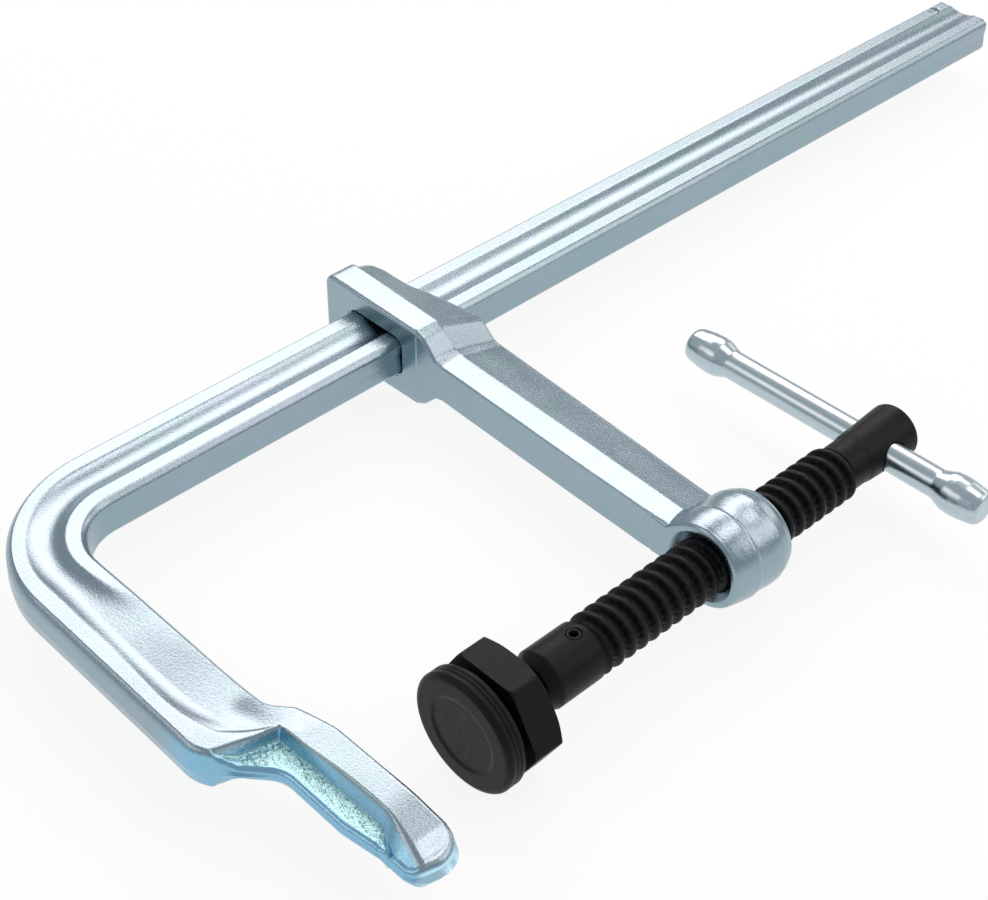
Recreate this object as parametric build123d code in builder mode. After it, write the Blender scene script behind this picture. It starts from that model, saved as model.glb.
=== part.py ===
from build123d import *
import os
from math import atan2, cos, degrees, hypot, pi, radians, sin, tan

os.makedirs("parts", exist_ok=True)

# All-steel bar clamp, in millimetres. The origin is the centre of the fixed jaw's clamping face, on the
# spindle's axis. +X runs along the arms, away from the rail. +Y runs along the rail, from the fixed jaw to
# the free end. +Z is square to both arms, and Z = 0 is the parting plane of the two forgings.

# Rail
reach = 173.0  # spindle axis to the rail's inner edge
rail_width = 32.0
rail_thickness = 18.0
rail_end = 581.0  # free end, from the fixed jaw's face
edge_chamfer = 1.9
groove_width = 14.7
groove_depth = 2.2
groove_run_out = 30.0  # length over which it fades out before the toe
groove_run_out_side = 4.0  # and how far it turns towards the clamping side
stop_from_end = 12.0  # centre of the staked stop, from the free end
stop_rise = 0.8  # burr of the stop over the rail's outer edge
stop_length = 4.0
dent_radius = 3.5

# Fixed arm and its toe
bend_radius = 22.0  # inside of the bend
bend_draw_in = 6.0  # the outside of the bend is rounder than a true bend, as the metal is drawn in there
anvil_rise = 9.5  # clamping face over the arm's inner edge
arm_growth = 3.2  # how much deeper the arm is at the toe than at the bend
toe_reach = 43.0  # tip of the toe, past the spindle's axis
toe_depth = 22.6  # clamping face to the back of the toe's tip
toe_belly = 2.2  # bulge of the web behind the toe
toe_root = -36.0  # where the clamping face starts
toe_web = 6.0  # thickness of the web at the parting plane
flange_thickness = 14.2  # clamping face to the foot of the pocket's wall
pocket_draft = 15.0  # degrees
tip_slant = 5.5  # how far the end of the tip leans back
tip_end_depth = 20.4  # clamping face to the back corner of the tip's end
tip_draft = 1.8  # how far the end of the tip leans in from the parting plane to the top
tip_bevel_depth = 9.5
tip_bevel_height = 7.5
tip_bevel_turn = 8.0  # degrees that the bevel turns round the tip

# Sliding arm
arm_front = 158.6  # front face of the head, from the fixed jaw's face
slot_clearance = 0.3  # each side of the rail
head_wall_outer = 15.7  # past the rail's outer edge
head_wall_inner = 13.8  # past the rail's inner edge
head_height = 38.6
head_ridge = 10.8  # flat top of the head, from front to back
head_length = 26.0  # front to back on the outer side
head_flare = 9.6  # how much longer the head is on the inner side
head_straight = 25.7  # length of the head that is as thick as its outer end
head_corner = 7.0
head_inner_edge = 4.0  # length and height of the rounding at the head's inner end
head_rear_corner = 11.0  # in plan, at the outer end
rear_slope = 20.0  # degrees, top surface behind the ridge
head_step = 11.0  # length of the step from the head down to the web
web_height = 18.0
web_ridge = 11.6
web_rear_height = 5.0
web_behind_front = 0.12  # web's front behind the boss's front, where it meets the boss
web_before_rear = 2.05  # web's rear before the boss's rear, there
web_depth = 35.0  # front to back where it leaves the head
web_bevel = 1.0
web_set_back = 1.0  # web's front behind the head's front

# Boss of the sliding arm
boss_front = 154.2
boss_length = 32.0
boss_front_radius = 17.9
boss_ring = 12.0  # length of the front ring
boss_radius = 20.2
boss_rear_radius = 17.3
boss_inset = 4.0  # how far the web runs into the boss
boss_offset = 1.2  # barrel of the boss off the thread's axis, away from the rail
bore_countersink = 3.0

# Spindle
jaw_gap = 32.0  # between the two clamping faces
thread_radius = 12.0
thread_pitch = 6.3
thread_turns = 22.5
running_clearance = 0.05
nose_start = 65.5  # front of the nose, from the fixed jaw's face
nose_length = 27.0
nose_radius = 12.35
nose_cone_length = 5.0
nose_tip_radius = 9.0
undercut_length = 1.5
head_edge = 1.2
undercut_radius = 10.2
head_neck_radius = 10.1
spindle_head_length = 38.5
spindle_head_radius = 11.9
cross_hole_from_end = 14.7

# Ball stud and its retaining screw
ball_radius = 10.0
ball_clearance = 0.3
ball_from_face = 15.0  # ball centre behind the plate's clamping face
stud_neck_radius = 5.0
stem_radius = 6.0
stem_groove_width = 4.4
stem_groove_depth = 1.0
screw_radius = 3.0
screw_point_radius = 1.9
screw_socket_width = 3.0
screw_socket_depth = 3.0
screw_from_front = 20.5  # screw axis, from the front of the nose
screw_recess = 0.5  # outer end of the screw under the nose's surface
point_clearance = 0.15

# Pressure plate and the nut behind it
plate_radius = 24.0
plate_thickness = 8.0
plate_edge = 1.5
dish_radius = 15.5
dish_depth = 0.6
rim_groove_depth = 0.5
rim_groove_width = 0.8
neck_radius = 16.0
neck_length = 10.0
nut_gap = 3.0  # between the plate's back and the nut
nut_across_flats = 45.0
nut_length = 13.5
nut_mouth_radius = 8.2
nut_chamfer = 3.0
nut_face_chamfer = 0.6
screwed_clearance = 0.05

# Tommy bar
bar_radius = 6.25
bar_clearance = 0.3
bar_long_side = 95.5  # left end, from the spindle's axis
bar_short_side = 54.3
knob_radius = 8.6
knob_length = 21.0
knob_end_radius = 7.0

half_rail = rail_thickness / 2
rail_inner = -reach
rail_outer = -reach - rail_width
arm_inner = -anvil_rise
arm_outer = arm_inner - rail_width

# The rail and the fixed arm are one forging: the plan of the whole piece, extruded to the rail's thickness.
# Corners of the plan with the radius of each.
bend_in = (rail_inner, arm_inner)
bend_out = (rail_outer, arm_outer)
rise_foot = (toe_root - 15.5, arm_inner)
rise_middle = (toe_root - 7, -0.38 * anvil_rise)
rise_top = (toe_root + 10, 0)
tip_front = (toe_reach, 0)
tip_side = (toe_reach - tip_slant, -tip_end_depth)
tip_back = (tip_side[0] - 6, -toe_depth)
belly_end = (toe_reach - toe_depth - 1, -toe_depth)
belly = (3, -toe_depth - toe_belly)
toe_foot = (toe_root + 9, -toe_depth - toe_belly + 0.5)
heel = (toe_root - 13.4, arm_outer - arm_growth)
plan_corners = {
    bend_in: bend_radius,
    bend_out: bend_radius + rail_width + bend_draw_in,
    rise_foot: 10.0,
    rise_middle: 8.0,
    rise_top: 20.0,
    tip_front: 11.0,
    tip_side: 7.0,
    tip_back: 8.0,
    belly_end: 8.0,
    belly: 16.0,
    toe_foot: 12.0,
    heel: 18.0,
}

# The long groove is a shallow channel of round section. It runs along the middle of the rail, round the bend
# and out of the arm's surface before the toe.
groove_radius = (groove_width**2 / 4 + groove_depth**2) / (2 * groove_depth)
groove_height = half_rail + groove_radius - groove_depth
groove_x = rail_inner - rail_width / 2
groove_y = arm_inner - rail_width / 2
groove_bend = bend_radius + rail_width / 2
groove_end = toe_root - 10
run_out_turn = atan2(groove_run_out_side, groove_depth)
run_out_radius = groove_run_out**2 / 2 / hypot(groove_run_out_side, groove_depth)
run_out_axis = Axis(
    (
        groove_end - groove_run_out,
        groove_y + run_out_radius * sin(run_out_turn),
        groove_height + run_out_radius * cos(run_out_turn),
    ),
    (0, -cos(run_out_turn), sin(run_out_turn)),
)
run_out_arc = 1.25 * degrees(groove_run_out / run_out_radius)

# Pockets of the toe, above and below the web: the foot of their walls, along the flange and the arm's end.
pocket_corner = (toe_root - 2.4, -flange_thickness - 2.6)
pocket_end = (heel[0] + 5, heel[1] + 4.2)
pocket_foot = [
    (toe_reach - toe_depth - 5, -flange_thickness),
    pocket_corner,
    pocket_end,
    (heel[0] + 3.5, heel[1] - 20),
    (toe_reach, heel[1] - 20),
    (toe_reach - toe_depth, -toe_depth - 1),
]

with BuildPart() as rail:
    with BuildSketch(Plane.XY.offset(-half_rail)) as plan:
        with BuildLine():
            Polyline(
                (rail_inner, rail_end),
                bend_in,
                rise_foot,
                rise_middle,
                rise_top,
                tip_front,
                tip_side,
                tip_back,
                belly_end,
                belly,
                toe_foot,
                heel,
                bend_out,
                (rail_outer, rail_end),
                close=True,
            )
        make_face()
        for corner, radius in plan_corners.items():
            fillet(plan.vertices().sort_by_distance((*corner, 0))[0], radius)
    extrude(amount=rail_thickness)
    flat_edges = rail.edges().filter_by(lambda edge: abs(abs(edge.center().Z) - half_rail) < 0.01)
    chamfer(flat_edges.filter_by(lambda edge: edge.center().Y < rail_end - 1), edge_chamfer)
    # Groove in the upper face, and the same below
    with BuildLine(Plane.XY.offset(groove_height)) as groove_path:
        along_rail = Line((groove_x, rail_end + 20), (groove_x, groove_y + groove_bend))
        round_bend = JernArc(along_rail @ 1, along_rail % 1, groove_bend, 90)
        Line(round_bend @ 1, (groove_end - groove_run_out, groove_y))
    with BuildSketch(Plane.XZ.offset(-rail_end - 20)):
        with Locations((groove_x, groove_height)):
            Circle(groove_radius)
    sweep(path=groove_path.line, mode=Mode.SUBTRACT)
    # The groove fades out towards the toe: the same round section, swung up and to the clamping side
    with BuildSketch(Plane.YZ.offset(groove_end - groove_run_out)):
        with Locations((groove_y, groove_height)):
            Circle(groove_radius)
    revolve(axis=run_out_axis, revolution_arc=run_out_arc, mode=Mode.SUBTRACT)
    # Pockets of the toe
    with BuildSketch(Plane.XY.offset(toe_web / 2)):
        Polygon(*pocket_foot, align=None)
    extrude(amount=half_rail, taper=-pocket_draft, mode=Mode.SUBTRACT)
    # Long bevel on the back of the tip, turned a little towards its end
    bevel_turn = radians(tip_bevel_turn)
    bevel_direction = (cos(bevel_turn), -sin(bevel_turn), 0)
    bevel_across = (sin(bevel_turn), cos(bevel_turn), 0)
    with BuildSketch(Plane((belly_end[0], 0, 0), x_dir=bevel_across, z_dir=bevel_direction)):
        with BuildLine():
            Polyline(
                (-toe_depth + tip_bevel_depth, half_rail),
                (-toe_depth, half_rail - tip_bevel_height),
                (-2 * toe_depth, half_rail - tip_bevel_height),
                (-2 * toe_depth, half_rail + 1),
                (-toe_depth + tip_bevel_depth, half_rail + 1),
                close=True,
            )
        make_face()
    extrude(amount=toe_depth * 2, mode=Mode.SUBTRACT)
    # Draft on the end of the tip, from the parting plane up
    tip_normal = (tip_end_depth, -tip_slant, 0)
    tip_direction = (-tip_slant, -tip_end_depth, 0)
    with BuildSketch(Plane(tip_front, x_dir=tip_normal, z_dir=tip_direction)):
        Polygon((0, 0), (tip_draft, 0), (tip_draft, half_rail), (-tip_draft, half_rail), align=None)
    extrude(amount=2 * toe_depth, both=True, mode=Mode.SUBTRACT)
    # The lower half is the upper half's mirror image
    split(bisect_by=Plane.XY, keep=Keep.TOP)
    mirror(about=Plane.XY)
    # Staked stop near the free end: a dent in the outer ridge and the burr that it raised
    with Locations((rail_outer + 1.4 * dent_radius, rail_end - stop_from_end, half_rail + dent_radius / 3)):
        Sphere(dent_radius, mode=Mode.SUBTRACT)
    with Locations((rail_outer, rail_end - stop_from_end, half_rail / 2)):
        Box(2 * stop_rise, stop_length, half_rail / 2)

rail.part.label = "rail"
export_step(rail.part, "parts/rail.step")

# The sliding arm is a chain of sections along the arm, each symmetrical about the parting plane: a flat
# front, a flat ridge above it, and a top that slopes down to the back.
head_start = rail_outer - head_wall_outer
head_end = rail_inner + head_wall_inner
head_top = head_height / 2
web_start = head_end + head_step
web_top = web_height / 2
web_front = arm_front + web_set_back
web_rear = web_front + web_depth
head_rear = arm_front + head_length
flared_rear = head_rear + head_flare


def rear_height(top, ridge, rear):
    """Half the height at the back of a section whose top slopes down behind its ridge."""
    return top - (rear - ridge) * tan(radians(rear_slope))


def arm_section(x, front, ridge, rear, top, rear_top):
    """Section of the forging in the plane X = x, from its front to its back."""
    with BuildSketch(Plane.YZ.offset(x)) as section:
        with BuildLine():
            upper = Polyline(
                (front, 0),
                (front, top - web_bevel),
                (front + web_bevel, top),
                (ridge, top),
                (rear, rear_top),
                (rear, 0),
            )
            mirror(upper, about=Plane.YZ.rotated((0, 0, 90)))
        make_face()
    return section.sketch


head_ridge_end = arm_front + head_ridge
boss_side = -boss_front_radius + boss_inset
front_at_boss = boss_front + web_behind_front
ridge_at_boss = front_at_boss + web_ridge
rear_at_boss = boss_front + boss_length - web_before_rear
outer_rear_height = rear_height(head_top, head_ridge_end, head_rear)
flared_rear_height = rear_height(head_top, head_ridge_end, flared_rear)
head_end_top = head_top - head_inner_edge / 4
head_end_rear_height = flared_rear_height - head_inner_edge / 4

head_thick_end = head_start + head_straight
head_flat_end = head_end - head_inner_edge
web_rear_top = web_rear_height / 2

with BuildPart() as sliding_arm:
    loft(
        [
            arm_section(head_start, arm_front, head_ridge_end, head_rear, head_top, outer_rear_height),
            arm_section(head_thick_end, arm_front, head_ridge_end, head_rear, head_top, outer_rear_height),
            arm_section(head_flat_end, arm_front, head_ridge_end, flared_rear, head_top, flared_rear_height),
            arm_section(head_end, arm_front, head_ridge_end, flared_rear, head_end_top, head_end_rear_height),
            arm_section(web_start, web_front, web_front + web_ridge, web_rear, web_top, web_rear_top),
            arm_section(boss_side, front_at_boss, ridge_at_boss, rear_at_boss, web_top, web_rear_top),
        ],
        ruled=True,
    )
    # Round corners of the head's outer end
    rear_corner = sliding_arm.edges().sort_by_distance((head_start, head_rear, 0))[0]
    fillet(rear_corner, head_rear_corner)
    with BuildSketch(Plane.XZ.offset(-arm_front + head_length)):
        with Locations((head_start, 0)):
            RectangleRounded(2 * reach, head_height, head_corner, align=(Align.MIN, Align.CENTER))
    extrude(amount=-4 * head_length, mode=Mode.INTERSECT)
    # Boss: a ring in front, turned about the spindle's axis
    with BuildSketch(Plane.XY):
        with BuildLine():
            Polyline(
                (0, boss_front),
                (boss_front_radius - 1, boss_front),
                (boss_front_radius, boss_front + 1),
                (boss_radius - 0.6, boss_front + boss_ring - 0.5),
                (boss_radius - 1.4, boss_front + boss_ring + 0.8),
                (0, boss_front + boss_ring + 0.8),
                close=True,
            )
        make_face()
    revolve(axis=Axis.Y)
    # Barrel behind it, a little off that axis
    with BuildSketch(Plane.XY):
        with BuildLine():
            Polyline(
                (boss_offset, boss_front + 2),
                (boss_offset + boss_front_radius - 1, boss_front + 2),
                (boss_offset + boss_radius - 1, boss_front + boss_ring - 2),
                (boss_offset + boss_radius, boss_front + 0.6 * boss_length),
                (boss_offset + boss_radius, boss_front + 0.75 * boss_length),
                (boss_offset + boss_radius - 1.3, boss_front + 0.88 * boss_length),
                (boss_offset + boss_rear_radius, boss_front + boss_length - 1),
                (boss_offset + boss_rear_radius - 1.3, boss_front + boss_length),
                (boss_offset, boss_front + boss_length),
                close=True,
            )
        make_face()
    revolve(axis=Axis((boss_offset, 0, 0), (0, 1, 0)))
    # Bore for the spindle, countersunk at both ends
    bore_radius = thread_radius + running_clearance
    with BuildSketch(Plane.XZ.offset(-boss_front + boss_length)):
        Circle(bore_radius)
    extrude(amount=-3 * boss_length, mode=Mode.SUBTRACT)
    bore_rims = sliding_arm.edges().filter_by(GeomType.CIRCLE)
    bore_rims = bore_rims.filter_by(lambda edge: abs(edge.radius - bore_radius) < 0.001).sort_by(Axis.Y)
    chamfer(bore_rims[0], bore_countersink)
    chamfer(bore_rims[-1], bore_countersink / 2)
    # Slot for the rail
    with BuildSketch(Plane.XZ.offset(-arm_front + head_length)):
        with Locations((rail_inner - rail_width / 2, 0)):
            RectangleRounded(
                rail_width + 2 * slot_clearance, rail_thickness + 2 * slot_clearance, edge_chamfer
            )
    extrude(amount=-4 * head_length, mode=Mode.SUBTRACT)

sliding_arm.part.label = "sliding_arm"
export_step(sliding_arm.part, "parts/sliding_arm.step")

# The spindle is turned about the Y axis, with its thread as a plain cylinder of the crest's diameter.
nose_end = nose_start + nose_length
thread_end = nose_end + thread_turns * thread_pitch
spindle_end = thread_end + spindle_head_length
cross_hole_y = spindle_end - cross_hole_from_end
stem_bore_radius = stem_radius + running_clearance
stem_end = nose_start + nose_length - undercut_length
screw_y = nose_start + screw_from_front

with BuildPart() as spindle:
    with BuildSketch(Plane.XY):
        with BuildLine():
            Polyline(
                (0, nose_start),
                (nose_tip_radius, nose_start),
                (nose_radius, nose_start + nose_cone_length),
                (nose_radius, nose_end - undercut_length),
                (undercut_radius, nose_end - undercut_length),
                (undercut_radius, nose_end),
                (thread_radius, nose_end + undercut_length),
                (thread_radius, thread_end - undercut_length),
                (head_neck_radius, thread_end),
                (head_neck_radius, thread_end + spindle_head_length / 4),
                (spindle_head_radius, spindle_end - head_edge),
                (spindle_head_radius - head_edge, spindle_end),
                (0, spindle_end),
                close=True,
            )
        make_face()
    revolve(axis=Axis.Y)
    # Bore of the nose, for the ball stud's stem
    with BuildSketch(Plane.XZ.offset(-nose_start)):
        Circle(stem_bore_radius)
    extrude(amount=-(stem_end - nose_start), mode=Mode.SUBTRACT)
    # Threaded hole for the retaining screw
    with BuildSketch(Plane.XY):
        with Locations((0, screw_y)):
            Circle(screw_radius + running_clearance)
    extrude(amount=2 * nose_radius, mode=Mode.SUBTRACT)
    # Cross hole for the tommy bar
    with BuildSketch(Plane.YZ.offset(-2 * spindle_head_radius)):
        with Locations((cross_hole_y, 0)):
            Circle(bar_radius + bar_clearance)
    extrude(amount=4 * spindle_head_radius, mode=Mode.SUBTRACT)

spindle.part.label = "spindle"
export_step(spindle.part, "parts/spindle.step")

# The ball stud carries the swivel plate. Its stem ends on the bottom of the nose's bore and takes the thrust.
ball_y = jaw_gap + ball_from_face
neck_end = nose_start - 2.5

with BuildPart() as ball_stud:
    with Locations((0, ball_y, 0)):
        Sphere(ball_radius)
    with BuildSketch(Plane.XY):
        with BuildLine():
            Polyline(
                (0, ball_y),
                (stud_neck_radius, ball_y),
                (stud_neck_radius, neck_end),
                (stem_radius, neck_end + 1),
                (stem_radius, screw_y - stem_groove_width / 2),
                (stem_radius - stem_groove_depth, screw_y - stem_groove_width / 2),
                (stem_radius - stem_groove_depth, screw_y + stem_groove_width / 2),
                (stem_radius, screw_y + stem_groove_width / 2),
                (stem_radius, stem_end - 1),
                (stem_radius - 1, stem_end),
                (0, stem_end),
                close=True,
            )
        make_face()
    revolve(axis=Axis.Y)

ball_stud.part.label = "ball_stud"
export_step(ball_stud.part, "parts/ball_stud.step")

# The retaining screw stands on the stem's groove and ends just under the nose's surface.
screw_bottom = stem_radius - stem_groove_depth + point_clearance
screw_top = nose_radius - screw_recess
point_length = stem_bore_radius - screw_bottom + 0.3

with BuildPart() as retaining_screw:
    with BuildSketch(Plane.XY.offset(screw_bottom)):
        with Locations((0, screw_y)):
            Circle(screw_point_radius)
    extrude(amount=point_length)
    with BuildSketch(Plane.XY.offset(screw_bottom + point_length)):
        with Locations((0, screw_y)):
            Circle(screw_radius)
    extrude(amount=screw_top - screw_bottom - point_length)
    with BuildSketch(Plane.XY.offset(screw_top)):
        with Locations((0, screw_y)):
            RegularPolygon(screw_socket_width / 2, 6, major_radius=False)
    extrude(amount=-screw_socket_depth, mode=Mode.SUBTRACT)

retaining_screw.part.label = "retaining_screw"
export_step(retaining_screw.part, "parts/retaining_screw.step")

# The pressure plate holds the front half of the ball, and its neck carries the nut.
plate_back = jaw_gap + plate_thickness
neck_back = plate_back + neck_length
socket_radius = ball_radius + ball_clearance
groove_step = rim_groove_width * 2

with BuildPart() as pressure_plate:
    with BuildSketch(Plane.XY):
        with BuildLine():
            Polyline(
                (0, jaw_gap + dish_depth),
                (dish_radius - 1, jaw_gap + dish_depth),
                (dish_radius, jaw_gap),
                (plate_radius - plate_edge, jaw_gap),
                (plate_radius, jaw_gap + plate_edge),
                (plate_radius, plate_back - 1),
                (plate_radius - 1, plate_back),
                (neck_radius, plate_back),
                (neck_radius, neck_back),
                (socket_radius, neck_back),
                (socket_radius, ball_y),
                (0, ball_y),
                close=True,
            )
        make_face()
    revolve(axis=Axis.Y)
    with Locations((0, ball_y, 0)):
        Sphere(socket_radius, mode=Mode.SUBTRACT)
    # Fine grooves round the rim
    with BuildSketch(Plane.XY):
        for step in (1, 2):
            with Locations((plate_radius, jaw_gap + plate_edge + step * groove_step)):
                Rectangle(2 * rim_groove_depth, rim_groove_width)
    revolve(axis=Axis.Y, mode=Mode.SUBTRACT)

pressure_plate.part.label = "pressure_plate"
export_step(pressure_plate.part, "parts/pressure_plate.step")

# The nut screws on the plate's neck and closes over the back of the ball.
nut_front = plate_back + nut_gap
nut_back = nut_front + nut_length
nut_corner_radius = nut_across_flats / 2 / cos(pi / 6)

with BuildPart() as swivel_nut:
    with BuildSketch(Plane.XZ.offset(-nut_front)):
        RegularPolygon(nut_across_flats / 2, 6, major_radius=False, rotation=0)
    extrude(amount=-nut_length)
    # Round chamfer on the back corners, and a fine one in front
    with BuildSketch(Plane.XY):
        with BuildLine():
            Polyline(
                (0, nut_front - 1),
                (nut_corner_radius - nut_face_chamfer, nut_front - 1),
                (nut_corner_radius - nut_face_chamfer, nut_front),
                (nut_corner_radius + 1, nut_front + nut_face_chamfer + 1),
                (nut_corner_radius + 1, nut_back - nut_chamfer * tan(radians(30))),
                (nut_corner_radius - nut_chamfer, nut_back),
                (nut_corner_radius - nut_chamfer, nut_back + 1),
                (0, nut_back + 1),
                close=True,
            )
        make_face()
    revolve(axis=Axis.Y, mode=Mode.INTERSECT)
    with BuildSketch(Plane.XZ.offset(-nut_front)):
        Circle(neck_radius + screwed_clearance)
    extrude(amount=-(neck_back - nut_front), mode=Mode.SUBTRACT)
    with Locations((0, ball_y, 0)):
        Sphere(socket_radius, mode=Mode.SUBTRACT)
    with BuildSketch(Plane.XZ.offset(-nut_front)):
        Circle(nut_mouth_radius)
    extrude(amount=-2 * nut_length, mode=Mode.SUBTRACT)

swivel_nut.part.label = "swivel_nut"
export_step(swivel_nut.part, "parts/swivel_nut.step")

# The tommy bar slides through the spindle's head. Its ends are upset to round knobs.
with BuildPart() as tommy_bar:
    with BuildSketch(Plane.XY):
        with BuildLine():
            for end, side in ((-bar_long_side, 1), (bar_short_side, -1)):
                Polyline(
                    (end, cross_hole_y),
                    (end, cross_hole_y + knob_end_radius - 3),
                    (end + side * 1.5, cross_hole_y + knob_end_radius - 1),
                    (end + side * 4, cross_hole_y + knob_end_radius),
                    (end + side * 0.62 * knob_length, cross_hole_y + knob_radius),
                    (end + side * 0.78 * knob_length, cross_hole_y + knob_radius - 0.3),
                    (end + side * knob_length, cross_hole_y + bar_radius),
                )
            Line(
                (-bar_long_side + knob_length, cross_hole_y + bar_radius),
                (bar_short_side - knob_length, cross_hole_y + bar_radius),
            )
            Line((-bar_long_side, cross_hole_y), (bar_short_side, cross_hole_y))
        make_face()
    revolve(axis=Axis((0, cross_hole_y, 0), (1, 0, 0)))

tommy_bar.part.label = "tommy_bar"
export_step(tommy_bar.part, "parts/tommy_bar.step")
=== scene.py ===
# %% [markdown]
# # An all-steel bar clamp
# A heavy clamp for welding and fitting work. Its frame is one forging: a profiled bar, bent round at one end
# and forged out into the fixed jaw. A second forging, the sliding arm, carries a black spindle with a swivel
# plate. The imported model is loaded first, because every piece below is made in its frame and moves with its
# bodies. Lengths are written in millimetres, as on the drawing, and turned to metres when a mesh is made.

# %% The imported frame
import bmesh
import bpy
import numpy as np
from math import cos, pi, radians, sin, tan
from mathutils import Matrix, Vector


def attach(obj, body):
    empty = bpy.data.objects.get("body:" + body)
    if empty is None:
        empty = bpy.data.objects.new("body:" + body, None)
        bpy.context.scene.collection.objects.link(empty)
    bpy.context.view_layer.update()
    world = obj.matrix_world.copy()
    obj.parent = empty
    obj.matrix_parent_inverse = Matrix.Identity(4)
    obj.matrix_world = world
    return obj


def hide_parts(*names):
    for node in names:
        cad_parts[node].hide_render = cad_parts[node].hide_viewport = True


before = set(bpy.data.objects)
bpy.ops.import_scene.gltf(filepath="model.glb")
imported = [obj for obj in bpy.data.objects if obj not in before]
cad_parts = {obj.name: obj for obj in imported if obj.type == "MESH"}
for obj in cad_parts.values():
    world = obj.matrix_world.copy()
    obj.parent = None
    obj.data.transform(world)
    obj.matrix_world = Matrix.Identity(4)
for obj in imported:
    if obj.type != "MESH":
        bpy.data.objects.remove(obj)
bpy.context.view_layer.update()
MM = 0.001

# %% [markdown]
# The camera stands where the photographer's did: in front of the jaws, to the right and well above. Its place
# and turn were solved from edges whose real positions are known. A long lens keeps the far end of the bar
# almost as wide as the near one.

# %% Camera
camera_azimuth, camera_elevation, camera_roll = radians(45.79), radians(39.67), radians(0.583)
camera_place = Vector((329.6, -274.5, 499.5)) * MM
back = Vector((
    sin(camera_azimuth) * cos(camera_elevation),
    -cos(camera_azimuth) * cos(camera_elevation),
    sin(camera_elevation),
))
level = Vector((cos(camera_azimuth), sin(camera_azimuth), 0))
right = cos(camera_roll) * level + sin(camera_roll) * back.cross(level)
lens = bpy.data.cameras.new("camera")
lens.sensor_width = 36.0
lens.lens = 71.34
camera = bpy.data.objects.new("camera", lens)
turned = Matrix((right, back.cross(right), back)).transposed().to_4x4()
camera.matrix_world = Matrix.Translation(camera_place) @ turned
bpy.context.scene.collection.objects.link(camera)
bpy.context.scene.camera = camera
print("Camera at", [round(v, 3) for v in camera_place])

# %% [markdown]
# Every piece starts as rows of points, so one helper joins each row to the next with four-sided faces.
# Another turns points and faces into a mesh: points that meet are merged, so that seams and poles are closed,
# and all faces are turned outwards. Edges sharper than an angle stay crisp, and all others are shaded smooth.

# %% From rows of points to a mesh
def grid_faces(rows, columns, closed=False):
    """Four-sided faces of a grid, whose point (i, j) has number i times columns plus j.

    With closed, the last column is joined to the first.
    """
    number = np.arange(rows * columns).reshape(rows, columns)
    if closed:
        number = np.hstack([number, number[:, :1]])
    corners = [number[:-1, :-1], number[1:, :-1], number[1:, 1:], number[:-1, 1:]]
    return np.stack(corners, axis=-1).reshape(-1, 4)


def add_piece(name, points, faces, sharp_angle=35.0, **values):
    """A mesh object at the origin from points in mm; values are numbers per point, kept as attributes."""
    mesh = bpy.data.meshes.new(name)
    mesh.from_pydata((points * MM).tolist(), [], faces)
    for label, numbers in values.items():
        mesh.attributes.new(label, "FLOAT", "POINT").data.foreach_set("value", numbers.astype(np.float32))
    shell = bmesh.new()
    shell.from_mesh(mesh)
    bmesh.ops.remove_doubles(shell, verts=shell.verts, dist=2e-6)
    bmesh.ops.dissolve_degenerate(shell, edges=shell.edges, dist=2e-6)
    bmesh.ops.recalc_face_normals(shell, faces=shell.faces)
    open_edges = sum(not edge.is_manifold for edge in shell.edges)
    shell.to_mesh(mesh)
    shell.free()
    mesh.shade_smooth()
    mesh.set_sharp_from_angle(angle=radians(sharp_angle))
    piece = bpy.data.objects.new(name, mesh)
    bpy.context.scene.collection.objects.link(piece)
    print(f"{name}: {len(mesh.vertices)} points, {len(mesh.polygons)} faces, {open_edges} open edges")
    return piece


# %% [markdown]
# Forged and drawn metal has no knife edges, so five small functions do the rounding. One bends a broken line
# of measurements into a smooth curve. Two take the lower or the higher of two surfaces and blend them where
# they cross, as the fillet of a die does. One leads a form in and out without a kink, and one is the drop of
# a round edge.

# %% Rounding helpers
def soft_line(x, xs, ys, soft):
    """The broken line through (xs, ys), averaged over x - soft to x + soft, so that its corners are round."""
    spread = np.linspace(-soft, soft, 21)
    weight = 1 - np.abs(spread) / (1.05 * soft)
    lines = [w * np.interp(x + s, xs, ys) for w, s in zip(weight, spread)]
    return sum(lines) / weight.sum()


def soft_low(a, b, blend):
    """The lower of a and b. Where they differ by less than blend, t mixes them.

    t is 1/2 plus (b - a) / (2 blend), and blend times t (1 - t) comes off for the fillet.
    """
    t = np.clip(0.5 + 0.5 * (b - a) / blend, 0, 1)
    return b + (a - b) * t - blend * t * (1 - t)


def soft_high(a, b, blend):
    """The higher of a and b, blended in the same way."""
    return -soft_low(-a, -b, blend)


def ease(t):
    """From 0 to 1 with level ends: 3 t squared minus 2 t cubed."""
    t = np.clip(t, 0, 1)
    return t * t * (3 - 2 * t)


def quarter(distance, radius):
    """How far a round edge of radius r has dropped at a distance d from its rim.

    It is r minus the root of r squared minus (r - d) squared.
    """
    gap = np.clip(radius - distance, 0, radius)
    return radius - np.sqrt(np.maximum(radius**2 - gap**2, 0))


print(f"A 2 mm edge has dropped {quarter(0.5, 2.0):.2f} mm at half a millimetre from its rim")

# %% [markdown]
# ## The rail and the fixed arm
# Both dies of a drop hammer meet in the parting plane, so a forging is fully described by its outline in that
# plane and by its height above every point inside. The other half is the mirror image. The outline comes
# first: a broken line whose corners are rounded with the real radii. Boxes with bevels could be joined
# instead, but then groove, run-out and pocket would each have to be cut, and here they all come from one
# function of the height.

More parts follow.
